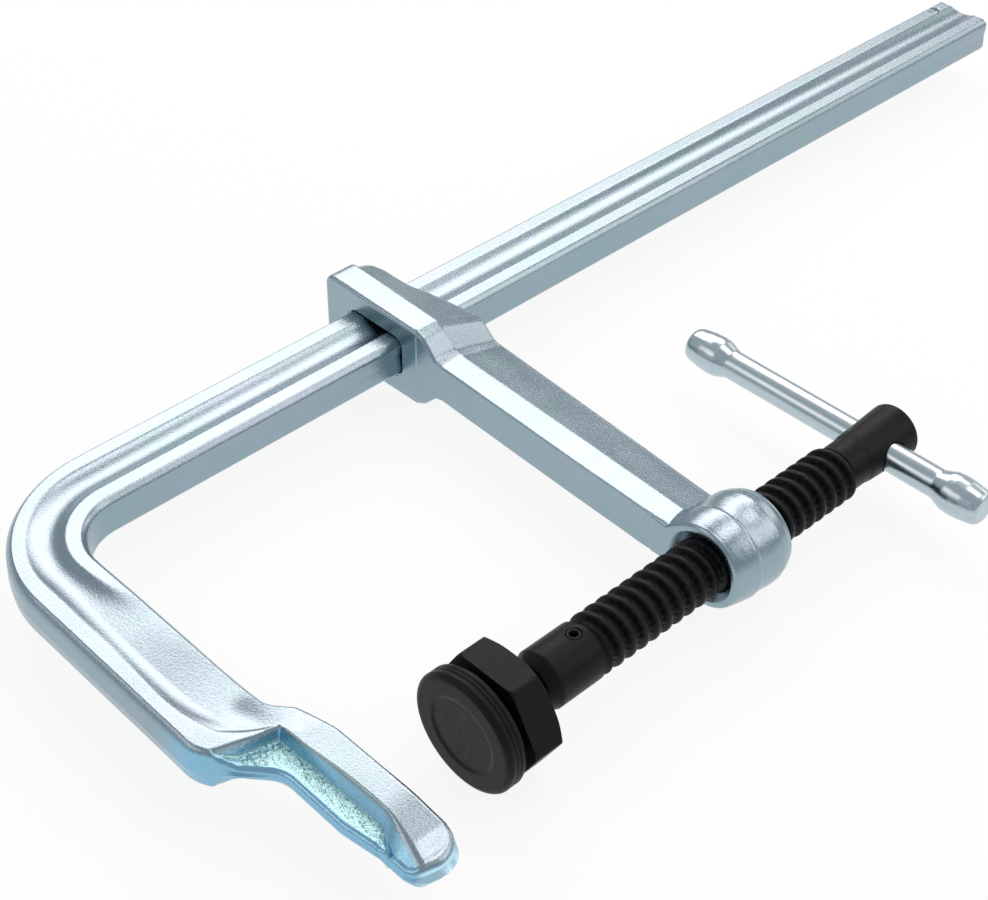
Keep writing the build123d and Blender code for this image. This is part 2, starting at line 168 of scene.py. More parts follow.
# %% Outline of the fixed frame
def rounded_outline(corners, steps=28):
    """A broken line of corners (x, y, radius), with an arc at each inner one.

    The arc starts the radius times tan(turn / 2) before its corner.
    """
    corners = np.array(corners, float)
    place, radius = corners[:, :2], corners[1:-1, 2]
    run = np.diff(place, axis=0)
    run /= np.linalg.norm(run, axis=1, keepdims=True)
    heading = np.arctan2(run[:, 1], run[:, 0])
    turn = (np.diff(heading) + pi) % (2 * pi) - pi
    side = np.sign(turn)
    start = place[1:-1] - run[:-1] * (radius * np.abs(np.tan(turn / 2)))[:, None]
    left = np.stack([-run[:-1, 1], run[:-1, 0]], axis=1)
    centre = start + (side * radius)[:, None] * left
    angle = (heading[:-1] - side * pi / 2)[:, None] + turn[:, None] * np.linspace(0, 1, steps)
    arcs = centre[:, None] + radius[:, None, None] * np.stack([np.cos(angle), np.sin(angle)], axis=-1)
    return np.vstack([place[:1], arcs.reshape(-1, 2), place[-1:]])


rail_inner, rail_outer, rail_end = -173.0, -205.0, 581.0
bar_middle = (rail_inner + rail_outer) / 2
half_thick = 9.0
outline = rounded_outline([
    (bar_middle, rail_end, 0),
    (rail_inner, rail_end, 1.5),
    (rail_inner, -9.5, 22),
    (-51.5, -9.5, 10),
    (-43, -3.61, 8),
    (-26, 0, 20),
    (43, 0, 11),
    (37.5, -20.4, 7),
    (31.5, -22.6, 8),
    (19.4, -22.6, 8),
    (3, -24.8, 16),
    (-27, -24.3, 12),
    (-49.4, -44.7, 18),
    (rail_outer, -41.5, 60),
    (rail_outer, rail_end, 1.5),
    (bar_middle, rail_end, 0),
])
print("Outline of the frame:", len(outline), "points")

# %% [markdown]
# A backbone runs down the middle of the bar, round the bend and out along the arm. From each of its points
# one rib goes to the inner side of the outline and one to the outer side. At the tip the ribs open into a
# fan. Ribs are far apart on the plain bar, and under half a millimetre apart on the toe, where the shape
# changes fast.

# %% Backbone and ribs
bend_centre, bend_middle = np.array([-151.0, 12.5]), 38.0
arm_middle = bend_centre[1] - bend_middle
bar_y = np.concatenate([
    rail_end - 1.5 * (1 - np.cos(np.linspace(0.08, pi / 2, 6))),
    np.arange(577, 562, -0.5),
    np.linspace(562, 12.5, 60),
])
bend_angle = np.linspace(pi, 1.5 * pi, 45)[1:]
arm_x = np.concatenate([np.arange(-149.6, -76, 2.0), np.arange(-76, 28, 0.45)])
arm_y = soft_line(arm_x, [-160, -74, -40, 40], [arm_middle, arm_middle, -13.4, -12.0], 14)
bone = np.vstack([
    np.stack([np.full_like(bar_y, bar_middle), bar_y], axis=1),
    bend_centre + bend_middle * np.stack([np.cos(bend_angle), np.sin(bend_angle)], axis=1),
    np.stack([arm_x, arm_y], axis=1),
])
outwards = np.vstack([
    np.tile([-1.0, 0.0], (len(bar_y), 1)),
    np.stack([np.cos(bend_angle), np.sin(bend_angle)], axis=1),
    np.tile([0.0, -1.0], (len(arm_x), 1)),
])
fan_angle = np.linspace(pi / 2, -pi / 2, 80)[1:-1]
fan = np.stack([np.cos(fan_angle), np.sin(fan_angle)], axis=1)
rib_start = np.vstack([bone, np.tile(bone[-1], (len(fan), 1)), bone[::-1]])
rib_heading = np.vstack([-outwards, fan, outwards[::-1]])


def cross2(a, b):
    """The cross product of two plane vectors."""
    return a[..., 0] * b[..., 1] - a[..., 1] * b[..., 0]


def rib_ends(start, heading, line):
    """Where each rib meets the line: on an edge A to B, t = (A - start) x (B - A) / (heading x (B - A))."""
    edge = np.diff(line, axis=0)[None]
    gap = line[:-1][None] - start[:, None]
    with np.errstate(divide="ignore", invalid="ignore"):
        slant = cross2(heading[:, None], edge)
        along = cross2(gap, edge) / slant
        share = cross2(gap, heading[:, None]) / slant
    along = np.where((along > 0) & (share > -1e-9) & (share < 1 + 1e-9), along, np.inf)
    return start + heading * along.min(axis=1)[:, None]


rim = rib_ends(rib_start, rib_heading, outline)
tangent = np.gradient(rim, axis=0)
tangent /= np.linalg.norm(tangent, axis=1, keepdims=True)
inwards = np.stack([tangent[:, 1], -tangent[:, 0]], axis=1)
print("Ribs:", len(rim), "of which in the fan:", len(fan))

# %% [markdown]
# Now the height over the plan. The bar's flats are 9 mm above the parting plane. A shallow round groove runs
# along them, round the bend, and swings up and out before the toe. It is a circle of 13.4 mm radius whose
# centre lies 20.2 mm up, so its section is that circle's lowest part. On the arm the die spreads it: there it
# lies 2.6 mm further out, and its inner half is nearly flat.

# %% Height of the flats and the groove
groove_radius, groove_centre = 13.38, 20.18
run_out_start, run_out_radius = -76.0, 98.6
run_out_side, run_out_up = 0.876, 0.482  # the way the groove swings: to the side and up


def groove_height(x, y):
    """The groove's floor: its centre's height minus the root of r squared minus the offset squared.

    Past the start of its run-out both move along a circle, and on_arm flattens its inner half.
    """
    from_bend = bend_middle - np.hypot(x - bend_centre[0], y - bend_centre[1])
    beside_bar = np.where(x < bend_centre[0], from_bend, y - arm_middle)
    offset = np.where(y > bend_centre[1], x - bar_middle, beside_bar)
    past = np.clip(x - run_out_start, 0, 80) * (y < bend_centre[1])
    lift = run_out_radius - np.sqrt(run_out_radius**2 - past**2)
    on_arm = ease((x + 155) / 50) * ease((6 - y) / 12)
    offset = offset - run_out_side * lift + 2.6 * on_arm
    inner = np.maximum(offset, 0)
    offset = offset - 0.9 * on_arm * inner
    room = groove_radius**2 - offset**2
    circle = groove_centre - np.sqrt(np.maximum(room, 0)) + 40 * (room < 0)
    return circle + run_out_up * lift + on_arm * (0.9 * ease((-75 - x) / 35) + 0.08 * inner)


print(f"The groove is {half_thick - groove_height(bar_middle, 300.0):.2f} mm deep on the bar")

# %% [markdown]
# The toe is hollowed by a pocket on each side of a thin web, as in an I-beam, to save weight where the
# bending load is small. The wall under the clamping flange leans back so that the die lets go. Towards the
# tip it leans more and more, until it is the long bevel that lets the tip reach into corners, so wall and
# bevel are one surface. The web's floor rises to a point at the heel. It stays rough, because nobody dresses
# the bottom of a pocket.

# %% Height of the pocket and the bevel
web_half = 3.0


def waves(x, y, size, seed):
    """Smooth unevenness, mostly from -1 to 1: a third of the sum of six sines with wavelengths near size.

    Each sine runs in a direction of its own.
    """
    random = np.random.default_rng(seed)
    total = 0
    for heading, phase, stretch in random.uniform([0, 0, 0.7], [pi, 2 * pi, 1.4], (6, 3)):
        total = total + np.sin(2 * pi * (x * cos(heading) + y * sin(heading)) / (size * stretch) + phase)
    return total / 3


def flange_height(x, y):
    """The wall under the flange: it falls from the flange's rear edge, more or less steeply along the toe."""
    edge_x = [-60, -28, -10, 5, 15, 36, 60]
    edge_y = soft_line(x, edge_x, [-14.6, -13.8, -12.4, -11.9, -12.4, -17.2, -22.7], 6)
    slope_x = [-60, -28, -10, 5, 12, 19, 25, 60]
    steepness = soft_line(x, slope_x, [3.7, 3.5, 1.9, 1.75, 1.75, 1.03, 0.79, 0.79], 3)
    return half_thick - np.maximum(edge_y - y, -20) * steepness


def heel_height(x, y):
    """The wall at the arm's end, on a line from the pocket's corner to the heel.

    It rises by 1 / tan 15 degrees, and less steeply towards the heel.
    """
    beyond = -0.966 * (x + 38.6) + 0.259 * (y + 15.8)
    lean = 1 - 0.4 * ease((-34 - y) / 8)
    return web_half + np.maximum(beyond, -20) * lean / tan(radians(15))


def floor_height(x, y):
    """The web's face, 3 mm up, which rises at the heel and drops to 1.5 mm where the pocket ends."""
    rise = 5.5 * ease(1 - np.hypot(x + 47.5, y + 41.5) / 14)
    dent = 1.3 * np.exp(-((x - 18.6) ** 2 + (y + 18.4) ** 2) / 2.2)
    return web_half + rise - 1.5 * ease((x - 20.2) / 1.6) - dent


def pocket_height(x, y):
    """The highest of floor, flange wall and heel wall, blended.

    The floor is uneven, with chatter marks along the foot of the walls.
    """
    walls = soft_high(flange_height(x, y), heel_height(x, y), 1.6)
    floor = floor_height(x, y)
    above = walls - floor
    at_foot = np.exp(-((above + 0.6) / 1.4) ** 2) * ease((x + 36) / 5)
    chatter = 0.4 * np.sin(2 * pi * x / 2.1 + 3 * waves(x, y, 9, 4)) * at_foot
    uneven = (0.15 * waves(x, y, 2.2, 5) + chatter) * ease((19 - x) / 2) * ease((x + 50) / 4)
    lower_rim = soft_line(x, [-60, -49, -27, 3, 30], [-44.7, -44.7, -24.3, -24.8, -22.6], 4)
    uneven *= ease((y - lower_rim - 2.8) / 2.0)
    return soft_high(floor + uneven, walls, 0.9)


print(f"The web is {2 * floor_height(-10.0, -20.0):.1f} mm thick in the middle of the pocket")

# %% [markdown]
# The flange's top falls away towards the tip, first slowly and behind a crease faster. Where the arm meets
# the toe, the dies leave a low step in the flats and a shallow hollow above the heel. All these surfaces are
# joined by taking the lowest of them, with their edges blended. Near the bar's free end a punch has left a
# round dent.

# %% Height of the whole frame
stake_y, stake_radius, stake_height = 569.0, 3.5, 10.17


def tip_fall(x):
    """Drop of the flange's top, which starts at x = 8 mm.

    It grows by 0.13 per mm from 18 mm, and by 0.27 past the crease at 27.5 mm.
    """
    start = np.clip(x - 8, 0, 10)
    return 0.0065 * start**2 + 0.13 * np.maximum(x - 18, 0) + 0.14 * soft_high(x - 27.5, 0 * x, 0.6)


def frame_height(x, y):
    """The lowest of flats, groove, pocket and staked dent, less the fall of the tip."""
    forged = ease((x + 200) / 40) * (y < 30)
    flats = half_thick + 0.06 * forged * waves(x, y, 24, 2)
    shelf_x = [-120, -105, -82, -66, -57, -51.4, -47, -41, -30]
    shelf_y = soft_line(x, shelf_x, [-32.6, -32.6, -36.3, -35.8, -34.2, -32.3, -27, -17.3, -10], 2)
    flats = flats - 0.35 * ease((y - shelf_y) / 2.4) * ease((x + 112) / 20) * ease((-30 - x) / 12)
    flats = flats - 1.3 * np.exp(-(((x + 51) / 11) ** 2) - ((y + 20) / 6.5) ** 2)
    height = soft_low(flats, groove_height(x, y), 0.6)
    height = np.where(x > -60, soft_low(height, pocket_height(x, y), 1.0), height)
    ball = stake_radius**2 - (x - rail_outer - 4.9) ** 2 - (y - stake_y) ** 2
    dent = stake_height - np.sqrt(np.maximum(ball, 0)) + 20 * (ball < 0)
    return soft_low(height - np.where(x > 0, tip_fall(x) * (height > 4), 0), dent, 0.3)


print(f"The flange's top drops {tip_fall(27.5):.1f} mm to the crease and {tip_fall(42.0):.1f} mm to the tip")

# %% [markdown]
# Each rib becomes a run of points: up the side wall, over the round edge and on to the backbone. The walls of
# the forged arm lean in towards the top by a draft angle, so that the die lets go, and its edges are rounder
# than the bar's. A bevel modifier would give one width everywhere, so draft and edge are lines along the
# frame instead.

# %% Draft and edges of the frame
where_x = rib_start[:, 0]
inner_side = np.arange(len(rim)) < len(bone)
end_share = np.clip(-inwards[:, 0], 0, 1) ** 2 * (rim[:, 0] > 25)
side_draft = np.where(
    inner_side,
    soft_line(where_x, [-189, -150, -60, -40, 40], [0, 0.7, 0.9, 0.3, 0.3], 8),
    soft_line(where_x, [-189, -150, -60, -45, -30, 40], [0, 0.7, 1.0, 1.2, 0.4, 0.6], 8),
)
draft = side_draft + (1.8 - side_draft) * end_share
edge_in = soft_line(where_x, [-189, -150, -60, -40, 40], [2.3, 2.6, 2.6, 1.9, 2.0], 8) + 2.0 * end_share
edge_up = soft_line(where_x, [-189, -150, -60, -40, 40], [2.5, 3.4, 3.6, 2.4, 2.4], 8) + 1.2 * end_share
roundness = soft_line(where_x, [-189, -150, -60, -40, 40], [0.35, 0.4, 0.4, 0.9, 1.0], 8)[:, None]
wall_share = np.array([0, 0.12, 0.3, 0.5, 0.7, 0.87])
edge_angle = np.linspace(0, pi / 2, 8)
inner_share = np.linspace(0, 1, 43)[1:]
print(f"Draft of the side walls: {draft.min():.1f} to {draft.max():.1f} mm from the parting plane to the top")

# %% [markdown]
# The wall's points follow from these lines. The drawn bar has a faint hollow along its sides, and where it is
# staked near its free end, the punch has raised a burr that stops the sliding arm. The half above the parting
# plane is then mirrored, as the second die would do, and the open ends are closed with one face.

# %% Points of the frame
foot = rim + inwards * (draft + edge_in)[:, None]
foot_height = frame_height(foot[:, 0], foot[:, 1])
edge_up = np.minimum(edge_up, 0.62 * foot_height)
wall_top = foot_height - edge_up
burr = np.exp(-(((rim[:, 1] - stake_y) / 1.9) ** 4)) * (rim[:, 0] < rail_outer + 1)
hollow = 0.4 * ease((rim[:, 1] - 5) / 60)
rise = np.concatenate([wall_share, np.ones(len(edge_angle))])
arc = np.concatenate([np.zeros(len(wall_share)), edge_angle])
straight = arc / (pi / 2)
wall_z = wall_top[:, None] * rise + edge_up[:, None] * (roundness * np.sin(arc) + (1 - roundness) * straight)
edge_shape = roundness * (1 - np.cos(arc)) + (1 - roundness) * straight
inset = draft[:, None] * rise + edge_in[:, None] * edge_shape
inset += hollow[:, None] * np.exp(-((wall_z / 2.4) ** 2))
inset -= 0.75 * burr[:, None] * np.exp(-(((wall_z - 4.4) / 2.1) ** 4))
shelf = rim + inwards * inset[:, -1:]
wall = rim[:, None] + inwards[:, None] * inset[..., None]
top = shelf[:, None] + (rib_start - shelf)[:, None] * inner_share[:, None]
plan = np.concatenate([wall, top], axis=1)
top_z = frame_height(top[..., 0], top[..., 1])
height = np.concatenate([wall_z, top_z], axis=1)
step = (frame_height(shelf[:, 0], shelf[:, 1]) - foot_height)[:, None]
height[:, : wall.shape[1]] += step * rise * (arc > 0)
upper = np.concatenate([plan, height[..., None]], axis=-1)


def with_mirror(upper):
    """The points of a grid and of its mirror image under the parting plane, and the faces of both."""
    faces = grid_faces(*upper.shape[:2])
    points = np.vstack([upper.reshape(-1, 3), (upper * [1, 1, -1]).reshape(-1, 3)])
    return points, np.vstack([faces, faces[:, ::-1] + len(points) // 2]).tolist()


points, faces = with_mirror(upper)
rows, columns = upper.shape[:2]
end_loop = list(range(columns)) + list(range(rows * columns - 1, (rows - 1) * columns - 1, -1))
faces.append(end_loop + [rows * columns + i for i in reversed(end_loop)])
print("Points of the frame:", len(points))

# %% [markdown]
# The frame's surface differs over it: paler and rougher in the pocket. The sides of the toe are painted bluer
# than its tops, a painted reflection, and the tip's end face is painted a bright pale blue, a painted
# highlight.
# Three numbers per point, from 0 to 1, tell the material where. They could be painted by hand, but worked out
# from the functions of the shape they follow its edges exactly.

# %% Finish and painted light zones, and mesh of the frame
x, y, z = points.T
walls = np.maximum(flange_height(x, y), heel_height(x, y))
in_pocket = ease((floor_height(x, y) - walls + 0.6) / 0.6) * (x > -52) * ease((20 - x) / 1.5)
off_rim = ease((np.tile(np.linalg.norm(plan - rim[:, None], axis=-1).ravel(), 2) - 2.2) / 1.5)
# The toe's side walls below the flats, which the material paints bluer than the tops: a painted reflection.
painted_reflection_sides = ease((half_thick - tip_fall(np.maximum(x, 0)) - np.abs(z) - 0.5) / 1.5) * ease((x + 75) / 25)
painted_reflection_sides *= 1 - off_rim * (in_pocket < 0.5) * ease((-38 - x) / 4) * (np.abs(z) > 6.3)
# The tip's end face below its top, which the material paints bright pale blue: a painted highlight.
painted_highlight_on_tip = ease((x - 34.5) / 2.5) * ease((half_thick - tip_fall(x) - np.abs(z) - 0.8) / 1.0)
zones = {"pocket": in_pocket * off_rim, "painted_reflection_sides": painted_reflection_sides, "painted_highlight_on_tip": painted_highlight_on_tip}
frame_piece = add_piece("fixed_frame", points, faces, 60.0, **zones)
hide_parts("rail")
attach(frame_piece, "frame")

# %% [markdown]
# ## The sliding arm
# This forging is described in the same way, but its ribs run straight from its front to its back. The head is
# thick and square so that it grips the bar, its top slopes down behind a flat ridge, and a step leads down to
# the slender web. Front, back, ridge and top along the arm are broken lines, read off the real one and
# softened. Head and web could be two bodies with a blend between them, but the lines give step and flare in
# one surface.

# %% Lines of the sliding arm
head_start, head_front = -221.6, 158.6


def arm_lines(x):
    """Front, back, ridge, top and slope of the sliding arm at each x, from softened broken lines."""
    out = x - head_start
    front = soft_line(x, [-230, -161, -148, -13.9, 30], [head_front, head_front, 159.2, 153.9, 154.2], 2.0)
    back_x = [-230, -195, -163.2, -148, -13.9, -10, 30]
    back = soft_line(x, back_x, [184.6, 184.6, 194.2, 194.6, 184.2, 186.2, 186.2], 3)
    ridge = soft_line(x, [-230, -165, -149, 30], [13.6, 12.0, 11.6, 11.6], 3) + front
    top = soft_line(x, [-230, -163.6, -159.2, -152.3, -148.2, 30], [20.3, 19.2, 17.3, 10.3, 9.0, 9.0], 1.6)
    slope = soft_line(x, [-230, -163, -147, 30], [0.364, 0.364, 0.278, 0.278], 4)
    front = front - 0.25 * ease((-162.4 - x) / 0.7) + 0.3 * ease((-24.8 - x) / 0.6) * ease((x + 70) / 30)
    front = front + quarter(out, 2.5)
    back = back - quarter(out, 13.0)
    top = top - quarter(out, 6.0)
    return front, back, ridge, top, slope


for x in (-200.0, -80.0):
    front, back, *_ = arm_lines(x)
    print(f"At x = {x:.0f} mm the arm is {back - front:.1f} mm from front to back")

# %% [markdown]
# The boss is a barrel for the spindle's thread. Its front is a ring about the thread's axis, and the barrel
# behind it sits 0.4 mm further out, with a low step between the two. Seen along the spindle it is round, so
# its height is a half circle, and the web runs into it with a fillet. A turned body joined by a Boolean would
# leave a hard line where the forging has that fillet, so the higher of the two heights is taken and blended.

# %% Shape of the boss
boss_front, boss_back, boss_offset = 154.2, 186.2, 0.4


def boss_radius(y):
    """Radius of the boss along its length, from a softened broken line."""
    stations = [150, boss_front, 157, 161.5, 165.6, 166.8, 170, 175, 178.5, 182.3, 185.4, 190]
    radii = [17.3, 17.7, 18.6, 19.5, 20.0, 19.5, 19.6, 20.1, 20.1, 19.1, 17.4, 15.0]
    return soft_line(y, stations, radii, 0.8)


def boss_centre(y):
    """How far the boss's axis lies past the thread's: 0 in the ring, and 0.4 mm in the barrel."""
    return boss_offset * ease((y - 161) / 9)


def arm_height(x, y):
    """The higher of the forged arm's top and the boss, blended. The boss's half circle is a signed root."""
    front, back, ridge, top, slope = arm_lines(x)
    behind = soft_high(y - ridge, 0 * y, 0.5)
    drop = 1.5 * ease((-178 - x) / 30) * ease(behind / 1.6)
    arm = top - slope * behind - drop
    arm = arm + 0.06 * waves(x, y, 22, 8)
    square = boss_radius(y) ** 2 - (x - boss_centre(y)) ** 2
    boss = np.sign(square) * np.sqrt(np.abs(square))
    return np.where(x > -32, soft_high(arm, boss, 6.5), arm)


print(f"The boss is {2 * boss_radius(np.arange(boss_front, boss_back)).max():.1f} mm thick")

# %% [markdown]
# The arm's two side walls come next. They stand upright, and each ends in a round edge that is wide on the
# head and narrow on the web. Stations lie close together at the outer end, the step and the boss, where the
# shape changes, and far apart on the web.

# %% Side walls of the sliding arm
arm_stations = np.concatenate([
    head_start + 7 * (1 - np.cos(np.linspace(0, pi / 2, 14))),
    np.arange(-213, -168, 1.2),
    np.arange(-168, -144, 0.45),
    np.arange(-144, -32, 2.0),
    np.arange(-32, 0, 0.6),
    [0.0],
])
front, back, *_ = arm_lines(arm_stations)
arm_edge = soft_line(arm_stations, [-230, -160, -148, -30, -20, 10], [2.1, 2.1, 0.8, 0.8, 2.0, 2.0], 4)
rear_edge = soft_line(arm_stations, [-230, -160, -148, -30, -20, 10], [1.6, 1.6, 1.5, 1.5, 1.4, 1.4], 4)
wall_share = np.array([0, 0.15, 0.35, 0.55, 0.78])
edge_angle = np.linspace(0, pi / 2, 7)
middle = np.linspace(0, 1, 74)[1:-1]
ones = np.ones(len(edge_angle))
rise = np.concatenate([wall_share, ones])
arc = np.concatenate([0 * wall_share, edge_angle])


def arm_side(line, edge, inward):
    """Points up one side: the wall to the edge's foot, then a quarter circle, turned inwards by its sign."""
    foot = arm_height(arm_stations, line + inward * edge)
    edge = np.minimum(edge, 0.6 * foot)
    z = (foot - edge)[:, None] * rise + edge[:, None] * np.sin(arc)
    y = line[:, None] + inward * edge[:, None] * (1 - np.cos(arc))
    return y, z


front_y, front_z = arm_side(front, arm_edge, 1)
back_y, back_z = arm_side(back, rear_edge, -1)
print("Stations of the sliding arm:", len(arm_stations))

# %% [markdown]
# Between the two walls the top is sampled at even steps. Past the thread's axis the last station is turned
# about that axis, which gives the boss its round end. Then the half is mirrored like the frame's.

# %% Mesh of the sliding arm
span = back_y[:, -1:] - front_y[:, -1:]
middle_y = front_y[:, -1:] + span * middle
middle_z = arm_height(arm_stations[:, None], middle_y)
side_y = np.hstack([front_y, middle_y, back_y[:, ::-1]])
side_z = np.hstack([front_z, middle_z, back_z[:, ::-1]])
shift = boss_centre(side_y) * ease((arm_stations + 20) / 20)[:, None]
left = np.stack([arm_stations[:, None] + shift, side_y, side_z], axis=-1)
turn = np.linspace(0, pi / 2, 40)[1:, None]
last_y, last_z = side_y[-1], side_z[-1]
turned = [boss_centre(last_y) + last_z * np.sin(turn), last_y + 0 * turn, last_z * np.cos(turn)]
upper = np.concatenate([left, np.stack(turned, axis=-1)])
points, faces = with_mirror(upper)
rows, columns = upper.shape[:2]
faces.append(list(range(columns)) + list(range(rows * columns + columns - 1, rows * columns - 1, -1)))
arm_piece = add_piece("forged_arm", points, faces, 40.0)

# %% [markdown]
# ## The thread
# Spindle and arm share one thread, so it is written once. A thread is a radius that depends on height and
# angle together: turn by one circle and the same radius comes back one pitch further on. The crests are broad
# and rounded, as rolled threads of screw clamps are. A Screw modifier could wind a profile too, but a radius
# also runs out smoothly at both ends, and the same function gives the arm's inner thread.

# %% Thread profile
pitch, crest_radius, thread_depth = 6.3, 12.0, 2.7
crest_at, crest_angle = 106.83, radians(-41)


def thread_radius(angle, y):
    """Crest radius less depth times (1 - crest), where crest rises and falls once per pitch.

    The phase of a right-hand helix is height over pitch plus angle over a full turn.
    """
    phase = (y - crest_at) / pitch + (angle - crest_angle) / (2 * pi) + 0.5
    away = np.abs(phase % 1 - 0.5)
    crest = ease((0.36 - away) / 0.2) - 0.25 * (away / 0.3) ** 2 * (away < 0.3)
    return crest_radius - thread_depth * (1 - crest)


def turned_grid(radius, y, angle):
    """Points around the spindle's axis: x is r times cos a, and z is r times sin a."""
    return np.stack([radius * np.cos(angle), y + 0 * angle, radius * np.sin(angle)], axis=-1)


root_radius = crest_radius - thread_depth
print(f"Thread: {2 * crest_radius:.0f} mm over the crests, {2 * root_radius:.1f} mm at the root")

# %% [markdown]
# Holes are made on the finished forging, by piercing, drilling and tapping, and here too they come last.
# Closed cutters are taken away by Boolean modifiers, which are applied at once so that the finished mesh is
# plain. A Boolean suits a hole through a curved wall, because the hole's rim doesn't follow the wall's own
# rows of points.

# %% Cutting helpers
def add_tube(name, rings):
    """A closed tube from rings of points, with a flat face over each of its ends."""
    rows, columns = rings.shape[:2]
    caps = [list(range(columns)), list(range((rows - 1) * columns, rows * columns))]
    return add_piece(name, rings.reshape(-1, 3), grid_faces(rows, columns, True).tolist() + caps)


def cut_out(piece, *cutters, sharp_angle=35.0):
    """Takes the cutters away from a piece and keeps the result as its mesh."""
    for cutter in cutters:
        difference = piece.modifiers.new(cutter.name, "BOOLEAN")
        difference.object = cutter
        difference.operation = "DIFFERENCE"
        difference.solver = "EXACT"
    evaluated = piece.evaluated_get(bpy.context.evaluated_depsgraph_get())
    mesh = bpy.data.meshes.new_from_object(evaluated)
    piece.modifiers.clear()
    piece.data = mesh
    mesh.shade_smooth()
    mesh.set_sharp_from_angle(angle=radians(sharp_angle))
    for cutter in cutters:
        bpy.data.objects.remove(cutter)
    print(f"{piece.name} after cutting: {len(mesh.polygons)} faces")


# %% [markdown]
# The arm is pierced for the bar. The slot clears it by 0.3 mm all round, so that the arm slides freely and
# jams only when it tilts under load. Its corners are round, and so is its mouth at the front, where the
# cutter grows.

# %% Slot for the bar
slot_half_width, slot_half_height, slot_corner, mouth_radius = 16.3, 9.3, 4.0, 1.2
corner_turn = np.linspace(0, pi / 2, 9)
slot_y = np.concatenate([[150.0], head_front + mouth_radius * (1 - np.cos(corner_turn)), [205.0]])
slot_radius = slot_corner + quarter(slot_y - head_front, mouth_radius)[:, None]
corner = np.concatenate([corner_turn + k * pi / 2 for k in range(4)])
centre_x = np.repeat([1, -1, -1, 1], len(corner_turn)) * (slot_half_width - slot_corner)
centre_z = np.repeat([1, 1, -1, -1], len(corner_turn)) * (slot_half_height - slot_corner)
loop_x = centre_x + slot_radius * np.cos(corner)
loop_z = centre_z + slot_radius * np.sin(corner)
loop_y = slot_y[:, None] + 0 * loop_x
slot_cutter = add_tube("slot_cutter", np.stack([loop_x + bar_middle, loop_y, loop_z], axis=-1))

# %% [markdown]
# The boss is bored and tapped. The cutter is the spindle's own thread, 0.14 mm larger in radius and nowhere
# narrower than the bore, and it widens at both ends to the countersinks that lead the spindle in.

# %% Threaded bore of the arm
around = np.linspace(0, 2 * pi, 97)[:-1]
bore_y = np.arange(150, 192, 0.42)[:, None]
bore_r = np.maximum(thread_radius(around, bore_y) + 0.14, 10.3)
countersink = np.maximum(15.0 - (bore_y - boss_front), 13.5 + (bore_y - boss_back))
bore_r = np.maximum(bore_r, np.minimum(countersink, 16))
bore_cutter = add_tube("bore_cutter", turned_grid(bore_r, bore_y, around))
cut_out(arm_piece, slot_cutter, bore_cutter, sharp_angle=40.0)
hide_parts("sliding_arm")
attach(arm_piece, "arm")

# %% [markdown]
# ## The spindle
# A steel bar with a rolled thread, a plain nose in front and a plain head behind, where a cross hole takes
# the tommy bar. It is a turned shape, so a profile of radii along the axis is carried round in a circle, and
# the thread is cut into it by taking the smaller of the two radii. The nose is bored for the stud, so the
# profile starts on the axis at the bore's bottom, comes out of the nose and goes back over the outside.

# %% Spindle
nose_start, spindle_end, hole_y, screw_y = 65.5, 272.75, 258.05, 86.0
outer_y = np.concatenate([
    nose_start + 0.8 * (1 - np.cos(np.linspace(0, pi / 2, 5))),
    np.linspace(66.5, 90, 34),
    np.linspace(90.2, 94, 20),
    np.arange(94.3, 235.5, 0.36),
    np.linspace(235.8, 271, 36),
    spindle_end - 1.2 * (1 - np.sin(np.linspace(0.1, pi / 2, 7))),
])[:, None]
stations = [65, 65.5, 70.6, 90.4, 91.2, 92.6, 94.4, 232.5, 234.6, 243.9, 246, 271, 273]
radii = [8.6, 9.3, 12.35, 12.35, 10.2, 10.2, 12.0, 12.0, 10.2, 10.25, 10.7, 11.95, 11.95]
envelope = soft_line(outer_y, stations, radii, 0.5) - quarter(spindle_end - outer_y, 1.2)
threaded = ease((outer_y - 92) / 2.5) * ease((236.2 - outer_y) / 3)
outer_r = np.minimum(envelope, crest_radius - threaded * (crest_radius - thread_radius(around, outer_y)))
inner_y = np.array([91.0, 91.0, 66.0, nose_start])[:, None]
inner_r = np.array([0.0, 6.05, 6.05, 6.5])[:, None] + 0 * around
end_y = np.array([spindle_end, spindle_end])[:, None]
end_r = np.array([8.0, 0.0])[:, None] + 0 * around
spindle_r = np.vstack([inner_r, outer_r, end_r])
spindle_y = np.vstack([inner_y, outer_y, end_y])
spindle_points = turned_grid(spindle_r, spindle_y, around)
spindle_faces = grid_faces(len(spindle_y), len(around), True).tolist()
spindle_piece = add_piece("black_spindle", spindle_points.reshape(-1, 3), spindle_faces, 32.0)

# %% [markdown]
# Two holes are drilled across it: one right through the head, with broken edges so that the tommy bar doesn't
# catch, and a small one into the nose for the screw that holds the stud. A cutter that flares where it meets
# the surface cuts the hole and its countersink at once.

# %% Holes in the spindle
def rod_cutter(name, centre, radius, along, low, high, flare):
    """A closed round cutter along x or z from low to high. Its radius grows by flare, a function of place."""
    turn = np.linspace(0, 2 * pi, 49)[:-1]
    travel = np.linspace(low, high, 25)[:, None]
    grown = radius + flare(travel)
    u, v = grown * np.cos(turn), grown * np.sin(turn)
    run = travel + 0 * u
    x, y, z = centre
    rings = (run, y + u, z + v) if along == "x" else (x + u, y + v, run)
    return add_tube(name, np.stack(rings, axis=-1))


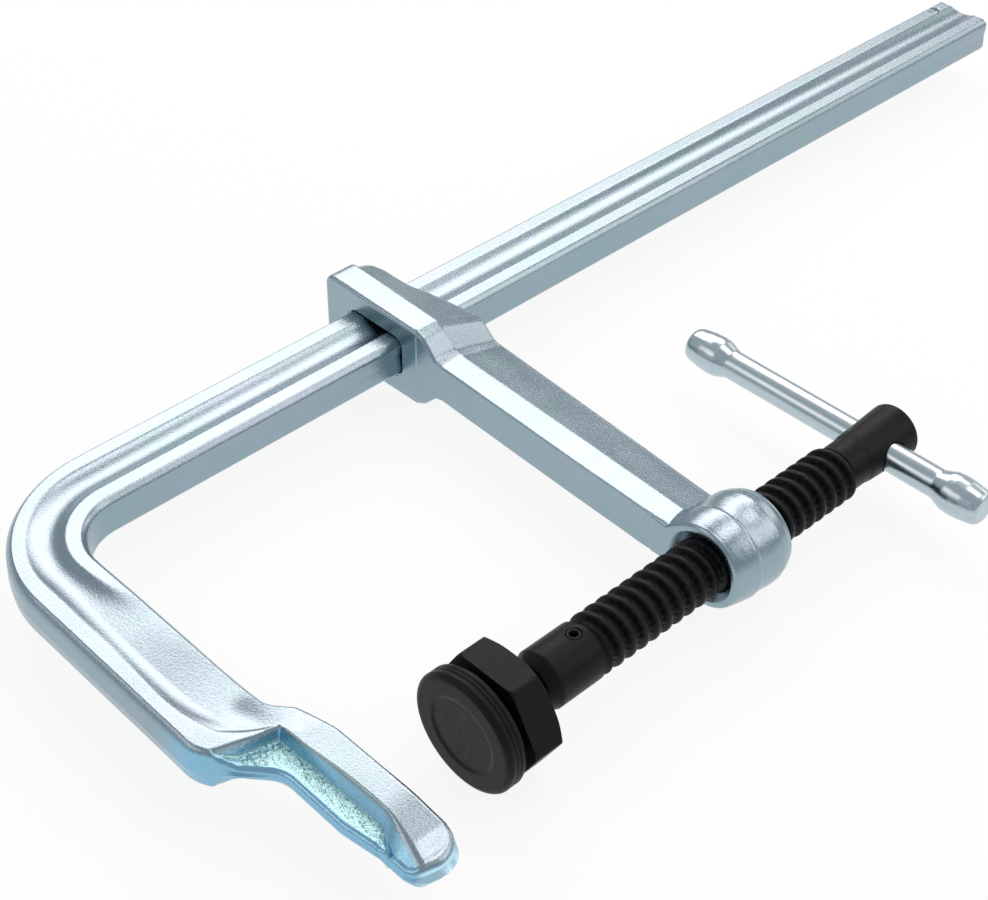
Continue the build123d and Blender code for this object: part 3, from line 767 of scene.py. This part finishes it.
cross_hole = rod_cutter(
    "cross_hole", (0, hole_y, 0), 6.5, "x", -16, 16, lambda x: 0.5 * ease((np.abs(x) - 8.5) / 3)
)
screw_hole = rod_cutter(
    "screw_hole", (0, screw_y, 0), 3.05, "z", 5.0, 14.0, lambda z: 0.5 * ease((z - 11.4) / 1.2)
)
cut_out(spindle_piece, cross_hole, screw_hole, sharp_angle=32.0)
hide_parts("spindle")
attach(spindle_piece, "screw")

# %% [markdown]
# ## Stud, screw, plate and tommy bar
# These are turned parts too. Each is a line of radius and place that is carried round its axis, with short
# runs of points at the round edges. A Spin operator would do the same by hand, and one function does it for
# all of them.

# %% Turned parts
def smooth_profile(line, soft, spacing):
    """A profile (radius, place), walked at even steps and averaged over soft mm.

    The average rounds its corners, and its two ends stay where they are.
    """
    line = np.array(line, float)
    length = np.concatenate([[0], np.cumsum(np.linalg.norm(np.diff(line, axis=0), axis=1))])
    walk = np.linspace(0, length[-1], int(length[-1] / spacing))
    near_end = np.minimum(walk, length[-1] - walk)
    spread = np.minimum(soft, near_end)
    offsets = np.linspace(-1, 1, 9)
    mean = [
        np.mean([np.interp(walk + o * spread, length, line[:, k]) for o in offsets], axis=0)
        for k in (0, 1)
    ]
    return np.stack(mean, axis=1)


def add_turned(name, profile, axis="y", centre=(0.0, 0.0, 0.0), columns=96, sharp_angle=35.0):
    """A profile (radius, place along the axis) carried round the y or x axis through centre."""
    turn = np.linspace(0, 2 * pi, columns + 1)[:-1]
    radius, place = profile[:, :1], profile[:, 1:]
    u, v, run = radius * np.cos(turn), radius * np.sin(turn), place + 0 * turn
    order = (u, run, v) if axis == "y" else (run, u, v)
    grid = np.stack(order, axis=-1) + np.array(centre)
    return add_piece(name, grid.reshape(-1, 3), grid_faces(len(profile), columns, True).tolist(), sharp_angle)


# %% [markdown]
# The stud carries the plate. Its ball lets the plate lie flat on work that isn't square, and its stem sits in
# the nose, with a groove for the screw's point. All of it is hidden once the clamp is assembled, but it is
# there.

# %% Ball stud
ball_y, ball_radius, socket_radius = 47.0, 10.0, 10.3
ball_turn = np.linspace(0, pi - 0.524, 40)
ball = np.stack([ball_radius * np.sin(ball_turn), ball_y - ball_radius * np.cos(ball_turn)], axis=1)
stem = [(5, 57.5), (5, 63), (6, 64), (6, 83.8), (5, 83.8), (5, 88.2), (6, 88.2), (6, 90), (5, 91), (0, 91)]
stud_piece = add_turned("swivel_stud", np.vstack([ball, stem]))
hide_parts("ball_stud")
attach(stud_piece, "stud")

# %% [markdown]
# The pressure plate's face has a shallow dish, and its rim two fine turned lines. Its neck holds the front
# half of the ball. The profile goes from the axis over the face, round the rim, down the neck and back
# inside. The lines are only 0.4 mm deep, but they catch the light, so they are real grooves and no bump in
# the finish.

# %% Pressure plate
rim_lines = [(24, 35.0), (23.55, 35.3), (23.55, 35.7), (24, 36.0)]
rim_lines += [(24, 36.6), (23.6, 36.9), (23.6, 37.3), (24, 37.6)]
face_line = [(0, 32.7), (14.2, 32.6), (15.6, 32.0), (21.9, 32.0), (23.2, 32.5), (24, 33.6)]
back_line = [(24, 39.2), (23.1, 40), (17, 40), (16, 40.4), (16, 50)]
face_profile = smooth_profile(face_line + rim_lines + back_line, 0.45, 0.14)
socket_turn = np.linspace(pi / 2, 0, 24)
socket = np.stack([socket_radius * np.sin(socket_turn), ball_y - socket_radius * np.cos(socket_turn)], axis=1)
neck = [(15.9, 50), (socket_radius, 50), (socket_radius, 48)]
plate_profile = np.vstack([face_profile, neck, socket])
plate_piece = add_turned("swivel_plate", plate_profile, columns=128)
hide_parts("pressure_plate")
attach(plate_piece, "swivel")

# %% [markdown]
# The nut is a hexagon only in its radius: at each angle the flat lies at 22.5 mm divided by the cosine of the
# angle from the flat's middle. Taking the smaller of that and a cone gives the curved chamfer of a real nut,
# where each flat ends in an arc. The angles are crowded at the six corners to keep them crisp. A six-sided
# cylinder with a bevel would have straight chamfers, which real nuts never have.

# %% Swivel nut
nut_front, nut_back, nut_mouth = 43.0, 56.5, 8.2
sector = np.linspace(-1, 1, 25)[:-1]
crowded = 30 * np.sign(sector) * np.abs(np.sin(sector * pi / 2)) ** 0.62
nut_angle = np.radians(30 + np.concatenate([crowded + 60 * k for k in range(6)]))
from_flat = nut_angle % (pi / 3) - pi / 6
hexagon = soft_low(22.5 / np.cos(from_flat), 25.75 + 0 * from_flat, 0.25)
nut_y = np.concatenate([
    nut_front + 0.6 * (1 - np.cos(np.linspace(0, pi / 2, 6))),
    np.linspace(44.2, 53.4, 10),
    np.linspace(53.7, 56.2, 26),
    nut_back - 0.3 * (1 - np.sin(np.linspace(0.2, pi / 2, 6))),
])[:, None]
cone = np.minimum(25.0 + (nut_y - nut_front), 23.1 + (nut_back - nut_y) / tan(radians(30)))
nut_r = soft_low(0 * cone + hexagon, cone - quarter(nut_back - nut_y, 0.4), 0.15)
seat_turn = np.arcsin(np.linspace(nut_mouth, socket_radius, 12) / socket_radius)
seat = np.stack([socket_radius * np.sin(seat_turn), ball_y + socket_radius * np.cos(seat_turn)], axis=1)
neck_hole = [(socket_radius, ball_y), (socket_radius, 50), (16.05, 50), (16.05, nut_front)]
inside = np.vstack([[(nut_mouth, nut_back)], seat, neck_hole])
nut_radius = np.vstack([nut_r, inside[:, :1] + 0 * nut_angle, nut_r[:1]])
nut_place = np.vstack([nut_y, inside[:, 1:], nut_y[:1]])
nut_grid = turned_grid(nut_radius, nut_place, nut_angle)
nut_faces = grid_faces(len(nut_place), len(nut_angle), True).tolist()
nut_piece = add_piece("hexagon_nut", nut_grid.reshape(-1, 3), nut_faces, 28.0)
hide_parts("swivel_nut")
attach(nut_piece, "swivel")

# %% [markdown]
# A small grub screw in the nose holds the stud. It has a hexagon socket, so its outer end is again a radius
# that follows a hexagon, and its point is plain. It sits in its hole, so its own thread can't be seen and is
# left out.

# %% Retaining screw
grub_angle = np.linspace(0, 2 * pi, 49)[:-1]
from_flat = (grub_angle + pi / 6) % (pi / 3) - pi / 6
socket_r = 1.5 / np.cos(from_flat)
grub_z = np.array([5.15, 5.15, 6.35, 6.35, 11.4, 11.85, 11.85, 11.5, 8.85, 8.3])[:, None]
grub_r = np.vstack([
    np.array([0, 1.9, 1.9, 3.0, 3.0, 2.6])[:, None] + 0 * grub_angle,
    socket_r + 0.3, socket_r, socket_r, 0 * socket_r,
])
grub_x, grub_y = grub_r * np.cos(grub_angle), screw_y + grub_r * np.sin(grub_angle)
grub_points = np.stack([grub_x, grub_y, grub_z + 0 * grub_r], axis=-1).reshape(-1, 3)
grub_piece = add_piece("grub_screw", grub_points, grid_faces(*grub_r.shape, True).tolist())
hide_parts("retaining_screw")
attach(grub_piece, "screw")

# %% [markdown]
# The tommy bar's ends are upset while hot, so that it can slide but never falls out. Each knob swells from
# the bar, is widest towards its inner end and closes over a rounded rim to a flat end face. Both knobs come
# out of the same die, so one profile serves for both.

# %% Tommy bar
bar_left, bar_right, bar_radius = -95.5, 54.3, 6.25
knob = smooth_profile([
    (0, 0), (5.4, 0), (6.7, 0.7), (7.5, 2.6), (8.35, 8),
    (8.6, 12.6), (8.3, 16.2), (7.2, 19.2), (6.3, 21.6), (bar_radius, 23.5),
], 0.8, 0.3)
left_end = np.stack([knob[:, 0], bar_left + knob[:, 1]], axis=1)
right_end = np.stack([knob[::-1, 0], bar_right - knob[::-1, 1]], axis=1)
between = np.stack([np.full(30, bar_radius), np.linspace(-71, 30, 30)], axis=1)
bar_piece = add_turned("turning_bar", np.vstack([left_end, between, right_end]), "x", (0, hole_y, 0), 72)
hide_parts("tommy_bar")
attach(bar_piece, "handle")

# %% [markdown]
# ## Materials
# Colours are written as they look on screen and turned to linear light by one function. Another adds a node
# with its settings and links, so that each finish below reads as a short list of steps.

# %% Colour and node helpers
def colour(code):
    """The linear colour of #rrggbb.

    A channel c becomes ((c + 0.055) / 1.055) to the power 2.4, or c / 12.92 when it is dark.
    """
    c = np.array([int(code[k : k + 2], 16) for k in (1, 3, 5)]) / 255
    return (*np.where(c > 0.04045, ((c + 0.055) / 1.055) ** 2.4, c / 12.92), 1.0)


def set_inputs(tree, node, **inputs):
    """Gives inputs of a node a value or a link. Underscores stand for spaces, and i0 is the first input."""
    for key, value in inputs.items():
        by_number = key[0] == "i" and key[1:].isdigit()
        socket = node.inputs[int(key[1:]) if by_number else key.replace("_", " ")]
        if isinstance(value, bpy.types.NodeSocket):
            tree.links.new(value, socket)
        else:
            socket.default_value = value


def add_node(tree, kind, settings=(), **inputs):
    """Adds a node, sets its properties, and then its inputs."""
    node = tree.nodes.new(kind)
    for key, value in dict(settings).items():
        setattr(node, key, value)
    set_inputs(tree, node, **inputs)
    return node


def new_material(name):
    """A material with a Principled shader and its output, the tree to add nodes to, and the shader."""
    material = bpy.data.materials.new(name)
    material.use_nodes = True
    tree = material.node_tree
    return material, tree, tree.nodes["Principled BSDF"]


colours = {"data_type": "RGBA"}
print(f"A grey of #808080 reflects {colour('#808080')[0]:.2f} of the light")

# %% [markdown]
# **Zinc plate on a shot-blasted forging.** Scale is blasted off before plating, which leaves a skin of tiny
# pits about half a millimetre wide, drawn at 0.9 mm so that they show. The thin bright zinc follows them, so
# the metal sparkles in grains instead of mirroring. The plate's clear passivation is a little blue-green.

# %% Zinc plate on forged steel
zinc_forged, tree, shader = new_material("zinc_plate_on_blasted_forging")
place = add_node(tree, "ShaderNodeTexCoord").outputs["Object"]
grain = add_node(tree, "ShaderNodeTexNoise", Vector=place, Scale=1 / (0.9 * MM), Detail=3.0, Roughness=0.65)
# The clouds of the passivation are far wider than the grain, 14 mm across the bar and 40 mm along it.
drawn = add_node(tree, "ShaderNodeMapping", Vector=place, Scale=(1, 0.35, 1))
cloud = add_node(tree, "ShaderNodeTexNoise", Vector=drawn.outputs[0], Scale=1 / (14 * MM), Detail=3.0)
cloud = add_node(tree, "ShaderNodeMapRange", Value=cloud.outputs[0], From_Min=0.25, From_Max=0.75)
hue = add_node(
    tree, "ShaderNodeMix", colours, Factor=cloud.outputs[0], i6=colour("#8ea8ad"), i7=colour("#98a8b6")
).outputs[2]
# The sides of the toe are painted bluer than the tops, a painted reflection, and the tip's end face is
# painted a bright pale blue, a painted highlight. The pocket is paler, because nothing ever rubs its floor.
pocket = add_node(tree, "ShaderNodeAttribute", {"attribute_name": "pocket"}).outputs["Fac"]
painted_reflection_sides = add_node(tree, "ShaderNodeAttribute", {"attribute_name": "painted_reflection_sides"}).outputs["Fac"]
painted_highlight_on_tip = add_node(tree, "ShaderNodeAttribute", {"attribute_name": "painted_highlight_on_tip"}).outputs["Fac"]
for zone, code in ((painted_reflection_sides, "#88bad4"), (painted_highlight_on_tip, "#c4ecff"), (pocket, "#9cc6ca")):
    hue = add_node(tree, "ShaderNodeMix", colours, Factor=zone, i6=hue, i7=colour(code)).outputs[2]
spread = {"From_Min": 0.3, "From_Max": 0.7}
gloss = add_node(tree, "ShaderNodeMapRange", Value=grain.outputs[0], To_Min=0.18, To_Max=0.32, **spread)
depth = add_node(tree, "ShaderNodeMapRange", Value=pocket, To_Min=0.38, To_Max=1.0)
pit_depth = 0.25 * MM
pits = add_node(
    tree, "ShaderNodeBump", Height=grain.outputs[0], Strength=depth.outputs[0], Distance=pit_depth
)
set_inputs(tree, shader, Metallic=1.0, Base_Color=hue, Roughness=gloss.outputs[0], Normal=pits.outputs[0])
print("Nodes in", zinc_forged.name + ":", len(tree.nodes))

# %% [markdown]
# **Zinc plate on a drawn bar.** The tommy bar isn't blasted. It is pulled through a die, which leaves fine
# lines along it, and the same bright zinc lies over them. The eye sees a smooth bar whose highlight is drawn
# out into streaks. So the noise is stretched along the bar's length instead of being even on all sides.

# %% Zinc plate on the drawn tommy bar
zinc_bar, tree, shader = new_material("zinc_plate_on_drawn_bar")
place = add_node(tree, "ShaderNodeTexCoord").outputs["Object"]
stretched = add_node(tree, "ShaderNodeMapping", Vector=place, Scale=(0.03, 1, 1))
streak = add_node(
    tree, "ShaderNodeTexNoise", Vector=stretched.outputs[0], Scale=1 / (0.7 * MM), Detail=2.0
).outputs[0]
hue = add_node(tree, "ShaderNodeMix", colours, Factor=streak, i6=colour("#a4bac2"), i7=colour("#c6d2d8"))
lines = add_node(tree, "ShaderNodeBump", Height=streak, Strength=0.3, Distance=0.1 * MM)
set_inputs(tree, shader, Metallic=1.0, Roughness=0.24, Base_Color=hue.outputs[2], Normal=lines.outputs[0])
print("Nodes in", zinc_bar.name + ":", len(tree.nodes))

# %% [markdown]
# **Black oxide on turned steel.** Spindle, stud, plate, nut and screw are blackened in a hot salt bath and
# oiled. The oxide is a thin dark skin that hides the metal, so the shader isn't metallic. What shine there is
# comes from the oil, uneven and weak, and is why the black parts show soft grey lines along their edges and
# nothing more.

# %% Black oxide on turned steel
black_steel, tree, shader = new_material("black_oxide_on_turned_steel")
place = add_node(tree, "ShaderNodeTexCoord").outputs["Object"]
speckle = add_node(
    tree, "ShaderNodeTexNoise", Vector=place, Scale=1 / (1.6 * MM), Detail=4.0, Roughness=0.65
).outputs[0]
tone = add_node(tree, "ShaderNodeMix", colours, Factor=speckle, i6=colour("#0a0c0f"), i7=colour("#16191d"))
gloss = add_node(tree, "ShaderNodeMapRange", Value=speckle, To_Min=0.3, To_Max=0.5, **spread)
skin = add_node(tree, "ShaderNodeBump", Height=speckle, Strength=0.25, Distance=0.1 * MM)
set_inputs(tree, shader, IOR=1.5, Specular_IOR_Level=0.13)
set_inputs(tree, shader, Base_Color=tone.outputs[2], Roughness=gloss.outputs[0], Normal=skin.outputs[0])
print("Nodes in", black_steel.name + ":", len(tree.nodes))

# %% [markdown]
# Every piece takes one finish. The two forgings share theirs, the tommy bar has its own, and all the rest is
# black.

# %% Finishes on the pieces
for piece in (frame_piece, arm_piece):
    piece.data.materials.append(zinc_forged)
bar_piece.data.materials.append(zinc_bar)
for piece in (spindle_piece, stud_piece, plate_piece, nut_piece, grub_piece):
    piece.data.materials.append(black_steel)
print("Materials:", [m.name for m in (zinc_forged, zinc_bar, black_steel)])

# %% [markdown]
# ## Studio
# A pale floor fills the view up to the horizon. For the camera and in reflections it glows almost white by
# itself, so that the background is white without any more light on the clamp. For all other rays it is plain
# matt paint, and it takes the clamp's shadow.

# %% Floor
floor_z, floor_reach, white_share = -24.0, 20000.0, 0.88
corners = np.array([(-1, -1, 0), (1, -1, 0), (1, 1, 0), (-1, 1, 0)]) * floor_reach + (0, 0, floor_z)
floor_mesh = bpy.data.meshes.new("floor")
floor_mesh.from_pydata((corners * MM).tolist(), [], [[0, 1, 2, 3]])
floor = bpy.data.objects.new("floor", floor_mesh)
bpy.context.scene.collection.objects.link(floor)
paint, tree, shader = new_material("matt_white_paint")
set_inputs(tree, shader, Base_Color=colour("#f7f7f7"), Roughness=0.9)
rays = add_node(tree, "ShaderNodeLightPath").outputs
seen = rays["Is Camera Ray"]
for ray in ("Is Glossy Ray", "Is Transmission Ray"):
    seen = add_node(tree, "ShaderNodeMath", {"operation": "MAXIMUM"}, i0=seen, i1=rays[ray]).outputs[0]
share = add_node(tree, "ShaderNodeMath", {"operation": "MULTIPLY"}, i0=seen, i1=white_share)
white = add_node(tree, "ShaderNodeEmission", Color=(1, 1, 1, 1), Strength=1.0)
mixed = add_node(tree, "ShaderNodeMixShader", i0=share.outputs[0], i1=shader.outputs[0], i2=white.outputs[0])
set_inputs(tree, tree.nodes["Material Output"], Surface=mixed.outputs[0])
floor_mesh.materials.append(paint)
print("Floor:", 2 * floor_reach * MM, "m wide")

# %% [markdown]
# Bright metal shows what is around it. The main softbox stands behind the clamp, so that the top faces mirror
# it and look bright, while the sides towards the camera mirror the floor in soft shadow and look grey. A box
# above lights the toe, those at the right and in front open up the black parts, and a low one gives the edges
# their bright lines. The boxes are a little warm, which cancels the blue of the zinc where a top face mirrors
# them. The world is a mid grey that stands for the rest of the room.

# %% Lamps and world
def add_softbox(name, place, target, width, height, brightness, tint=(1.0, 0.82, 0.76)):
    """A lamp of a tint that faces target.

    Its power is pi times its area times the brightness that a mirror would show.
    """
    lamp = bpy.data.lights.new(name, "AREA")
    lamp.shape = "RECTANGLE"
    lamp.size, lamp.size_y = width, height
    lamp.energy = pi * width * height * brightness
    lamp.color = tint
    box = bpy.data.objects.new(name, lamp)
    box.location = place
    box.rotation_euler = (Vector(place) - Vector(target)).to_track_quat("Z", "Y").to_euler()
    box.visible_camera = False
    bpy.context.scene.collection.objects.link(box)


middle_point = (-0.07, 0.2, 0)
add_softbox("softbox_back", (-1.22, 1.1, 1.32), middle_point, 1.8, 1.15, 3.0)
add_softbox("softbox_above", (0.12, 0.65, 1.45), (0.0, 0.0, 0.0), 0.7, 0.7, 2.9)
add_softbox("softbox_right", (1.07, 1.17, 1.03), middle_point, 1.1, 1.1, 1.6)
add_softbox("softbox_front", (-0.9, -1.4, 1.15), middle_point, 1.3, 0.8, 1.2)
add_softbox("softbox_low", (0.1, 1.65, 0.6), middle_point, 0.9, 0.5, 1.6)
world = bpy.data.worlds.new("studio")
world.use_nodes = True
world.node_tree.nodes["Background"].inputs["Color"].default_value = (0.5, 0.52, 0.54, 1)
bpy.context.scene.world = world
bpy.context.scene.view_settings.view_transform = "Standard"
